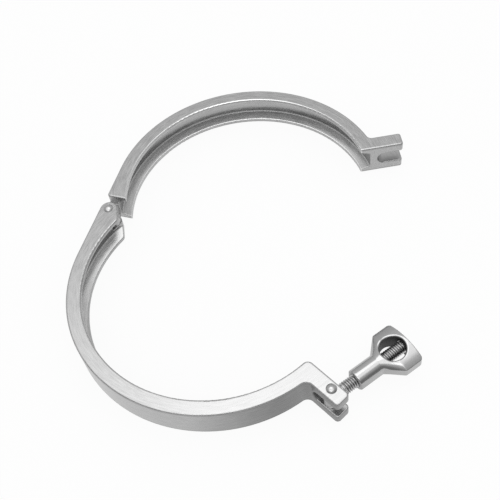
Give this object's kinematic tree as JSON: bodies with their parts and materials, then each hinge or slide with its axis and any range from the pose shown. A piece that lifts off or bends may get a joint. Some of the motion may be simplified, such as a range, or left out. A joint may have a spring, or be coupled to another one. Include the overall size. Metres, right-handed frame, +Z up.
{
  "type": "sanitary clamp",
  "caption": "Hinged sanitary pipe clamp: grooved half-ring jaws on a rivet hinge, closed by a swing bolt with a winged nut.",
  "frame": {"origin": "centre of the fork jaw's ferrule circle, at mid-height of the jaws", "axes": "+Z up along the pipe's axis, +X along the fork jaw's split face towards its lug"},
  "size_m": [0.2547, 0.2588, 0.0256],
  "materials": {
    "satin_casting": "satin, sanded cast stainless steel",
    "bright_rivet": "bright, peened",
    "machined_screw": "bright, machined",
    "polished_nut": "polished cast stainless steel"
  },
  "bodies": {
    "fork_side": {"fork_jaw": "satin_casting", "hinge_pin": "bright_rivet", "bolt_pin": "bright_rivet"},
    "slotted_side": {"slotted_jaw": "satin_casting"},
    "bolt": {"swing_bolt": "machined_screw"},
    "nut": {"wing_nut": "polished_nut"}
  },
  "joints": [
    {"name": "jaw_hinge", "type": "hinge", "parent": "fork_side", "child": "slotted_side", "pos_m": [-0.09289, -0.00927, 0], "axis": [0, 0, 1], "range_deg": [-48, 125]},
    {"name": "bolt_swing", "type": "hinge", "parent": "fork_side", "child": "bolt", "pos_m": [0.10395, -0.0046, 0], "axis": [0, 0, 1], "range_deg": [-17.3, 45.1]},
    {"name": "nut_turn", "type": "hinge", "parent": "bolt", "child": "nut", "pos_m": [0.1063, 0.01173, 0], "axis": [0.1426, 0.9898, 0], "continuous": true}
  ],
  "couplings": [
    {"joint": "bolt_swing", "follows": "jaw_hinge", "ratio": 0.36}
  ]
}
